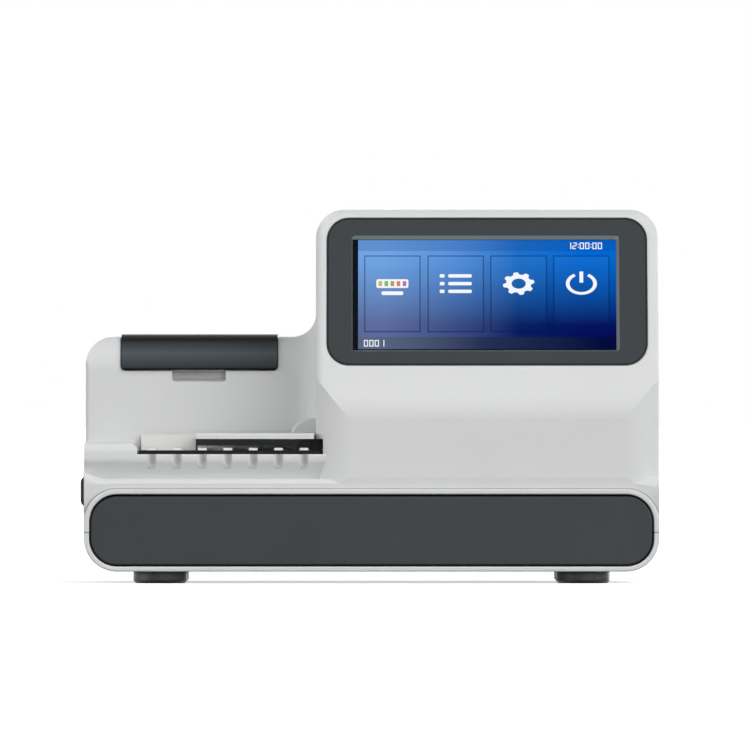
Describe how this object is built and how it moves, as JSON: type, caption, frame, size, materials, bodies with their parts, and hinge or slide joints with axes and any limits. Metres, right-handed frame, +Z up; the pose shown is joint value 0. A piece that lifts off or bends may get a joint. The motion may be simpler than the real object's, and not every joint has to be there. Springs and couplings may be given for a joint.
{
  "type": "urine strip analyzer",
  "caption": "Desktop urine test strip analyzer: sloped touch screen, strip table with walking beam and smoked cover, receipt printer under a dark lid, and a wide waste drawer.",
  "frame": {"origin": "middle of the footprint, on the table, under the feet", "axes": "+X to the right as the user sees it, -Y towards the user (the drawer side), +Z up"},
  "size_m": [0.3425, 0.2798, 0.2215],
  "materials": {
    "housing_plastic": "fine moulded texture",
    "dark_panel": "slate grey, satin",
    "black_plastic": "black",
    "rocker_plastic": "black, glossy",
    "white_plastic": "white",
    "smoked_window": "smoked acrylic",
    "rubber": "black",
    "inner_plastic": "dark grey",
    "steel": "zinc plated",
    "motor_case": "black",
    "panel_paint": "light grey powder coat",
    "lens_glass": "clear",
    "touch_glass": "clear, smooth",
    "display": "blue screen image",
    "board": "green solder mask",
    "paper": "thermal paper",
    "core_card": "plain"
  },
  "bodies": {
    "case": {"base_shell": "housing_plastic", "chassis_plate": "steel", "chassis_screws": "steel", "comb_brackets": "steel", "comb_guide_rods": "steel", "comb_motor": "motor_case", "drawer_rail_left": "steel", "drawer_rail_right": "steel", "foot_front_left": "rubber", "foot_front_right": "rubber", "foot_rear_left": "rubber", "foot_rear_right": "rubber", "foot_screws": "steel", "head_guide_rods": "steel", "head_motor": "motor_case", "housing_screws": "steel", "lcd_bracket": "steel", "lcd_module": "display", "lid_hinge_pin": "steel", "mainboard": "board", "optics_brackets": "steel", "paper_well": "inner_plastic", "power_inlet": "black_plastic", "power_supply": "steel", "printer_frame": "steel", "read_platform": "white_plastic", "rear_panel": "panel_paint", "screen_bezel": "dark_panel", "serial_port": "steel", "switch_frame": "black_plastic", "touch_panel": "touch_glass", "transport_bed": "black_plastic", "upper_housing": "housing_plastic", "usb_port": "steel", "waste_chute": "inner_plastic"},
    "drawer": {"drawer_front": "dark_panel", "drawer_tray": "inner_plastic", "drawer_screws": "steel", "drawer_runners": "steel"},
    "lid": {"printer_lid": "dark_panel"},
    "platen": {"platen_roller": "rubber", "platen_axle": "steel", "platen_gear": "inner_plastic"},
    "paper": {"paper_roll": "paper", "paper_core": "core_card"},
    "rocker": {"power_rocker": "rocker_plastic"},
    "cassette": {"strip_rack": "white_plastic", "strip_cover": "housing_plastic", "cover_window": "smoked_window"},
    "carriage": {"comb_carriage": "black_plastic", "lift_solenoid": "motor_case"},
    "comb": {"transport_comb": "black_plastic", "lift_plunger": "steel"},
    "comb_screw": {"comb_leadscrew": "steel"},
    "head": {"optical_head": "black_plastic", "head_lens": "lens_glass"},
    "head_screw": {"head_leadscrew": "steel"}
  },
  "joints": [
    {"name": "drawer_slide", "type": "slide", "parent": "case", "child": "drawer", "axis": [0, -1, 0], "range_m": [0, 0.15]},
    {"name": "lid_hinge", "type": "hinge", "parent": "case", "child": "lid", "pos_m": [0, 0.061, 0.1446], "axis": [-1, 0, 0], "range_deg": [0, 95]},
    {"name": "paper_spin", "type": "hinge", "parent": "case", "child": "paper", "pos_m": [0, 0.036, 0.106], "axis": [1, 0, 0], "continuous": true},
    {"name": "platen_spin", "type": "hinge", "parent": "lid", "child": "platen", "pos_m": [0, 0.014, 0.1325], "axis": [1, 0, 0], "continuous": true},
    {"name": "rocker_tilt", "type": "hinge", "parent": "case", "child": "rocker", "pos_m": [-0.168, -0.07, 0.0542], "axis": [0, 1, 0], "range_deg": [-4, 4]},
    {"name": "cassette_lift", "type": "slide", "parent": "case", "child": "cassette", "axis": [0, 0, 1], "range_m": [0, 0.06]},
    {"name": "comb_slide", "type": "slide", "parent": "case", "child": "carriage", "axis": [1, 0, 0], "range_m": [0, 0.015]},
    {"name": "comb_screw_spin", "type": "hinge", "parent": "case", "child": "comb_screw", "pos_m": [0, -0.075, 0.0662], "axis": [1, 0, 0], "range_deg": [0, 540]},
    {"name": "comb_lift", "type": "slide", "parent": "carriage", "child": "comb", "axis": [0, 0, 1], "range_m": [0, 0.0025]},
    {"name": "head_slide", "type": "slide", "parent": "case", "child": "head", "axis": [0, 1, 0], "range_m": [0, 0.085]},
    {"name": "head_screw_spin", "type": "hinge", "parent": "case", "child": "head_screw", "pos_m": [-0.003, 0, 0.098], "axis": [0, 1, 0], "range_deg": [0, 3060]}
  ],
  "couplings": [
    {"joint": "platen_spin", "follows": "paper_spin", "ratio": -4.4},
    {"joint": "comb_screw_spin", "follows": "comb_slide", "rad_per_m": 628.32},
    {"joint": "head_screw_spin", "follows": "head_slide", "rad_per_m": 628.32}
  ]
}
